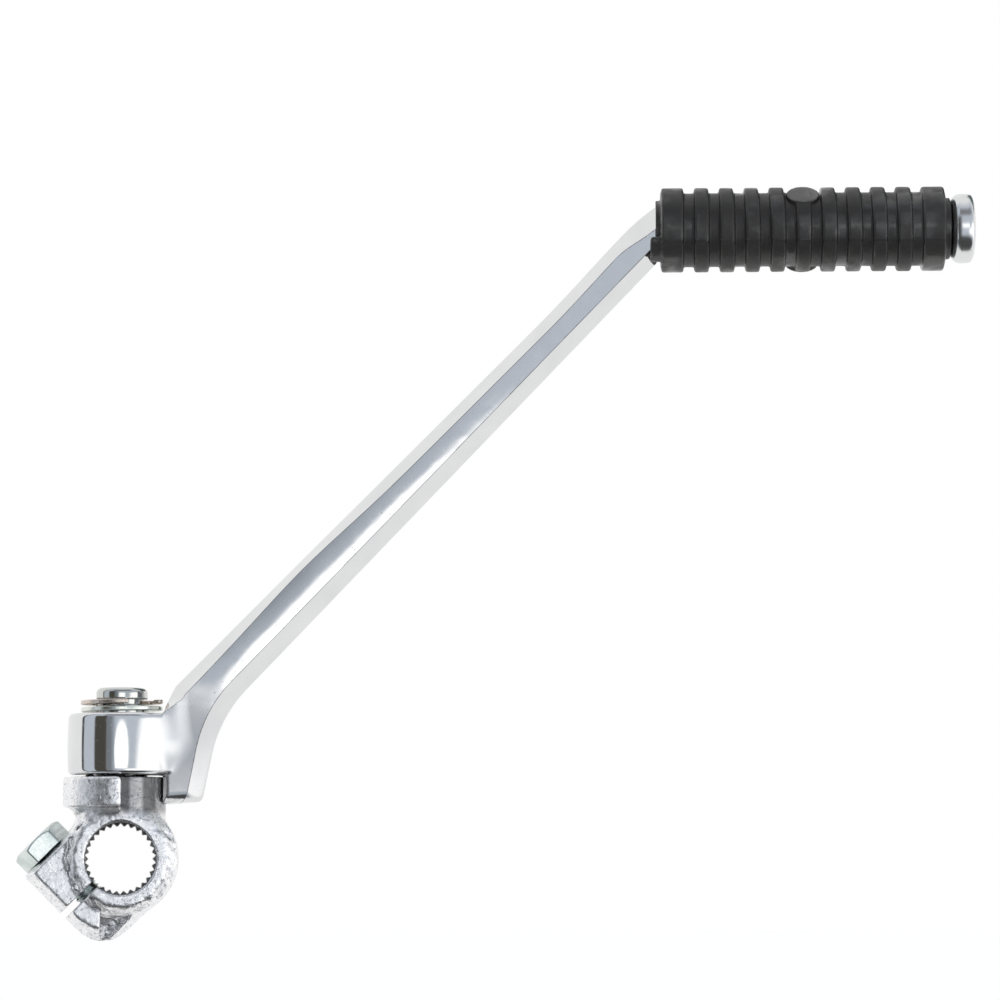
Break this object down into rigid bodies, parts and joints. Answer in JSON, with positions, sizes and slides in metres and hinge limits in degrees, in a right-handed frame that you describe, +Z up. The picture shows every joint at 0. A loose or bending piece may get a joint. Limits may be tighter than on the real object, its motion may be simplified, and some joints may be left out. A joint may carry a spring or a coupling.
{
  "type": "kick start lever",
  "caption": "Folding kick start lever: a splined clamp boss with a pinch bolt, a forged arm that swings on the boss's post, and a ribbed rubber foot grip.",
  "frame": {"origin": "middle of the splined bore, on its axis", "axes": "+Y along the bore, towards the engine, the way the kick shaft leaves; +X towards the foot grip; +Z up along the pivot post"},
  "size_m": [0.2654, 0.0603, 0.2102],
  "materials": {
    "boss": "chrome over a rough forging",
    "arm": "polished chrome",
    "foot_grip": "moulded rubber, satin",
    "pinch_bolt": "bright zinc plate, pale blue green",
    "pivot_washer": "zinc plate",
    "retaining_clip": "spring steel, straw temper colour",
    "detent_ball": "ground ball",
    "detent_spring": "spring wire"
  },
  "bodies": {
    "clamp": {"boss": "boss", "pinch_bolt": "pinch_bolt", "pivot_washer": "pivot_washer", "retaining_clip": "retaining_clip"},
    "lever": {"arm": "arm", "foot_grip": "foot_grip", "detent_spring": "detent_spring"},
    "ball": {"detent_ball": "detent_ball"}
  },
  "joints": [
    {"name": "arm_fold", "type": "hinge", "parent": "clamp", "child": "lever", "pos_m": [0, 0, 0.0316], "axis": [0, 0, -1], "range_deg": [0, 54]},
    {"name": "ball_drop", "type": "slide", "parent": "lever", "child": "ball", "axis": [0, 0, -1], "range_m": [0, 0.0004], "deforming": ["detent_spring"]}
  ]
}
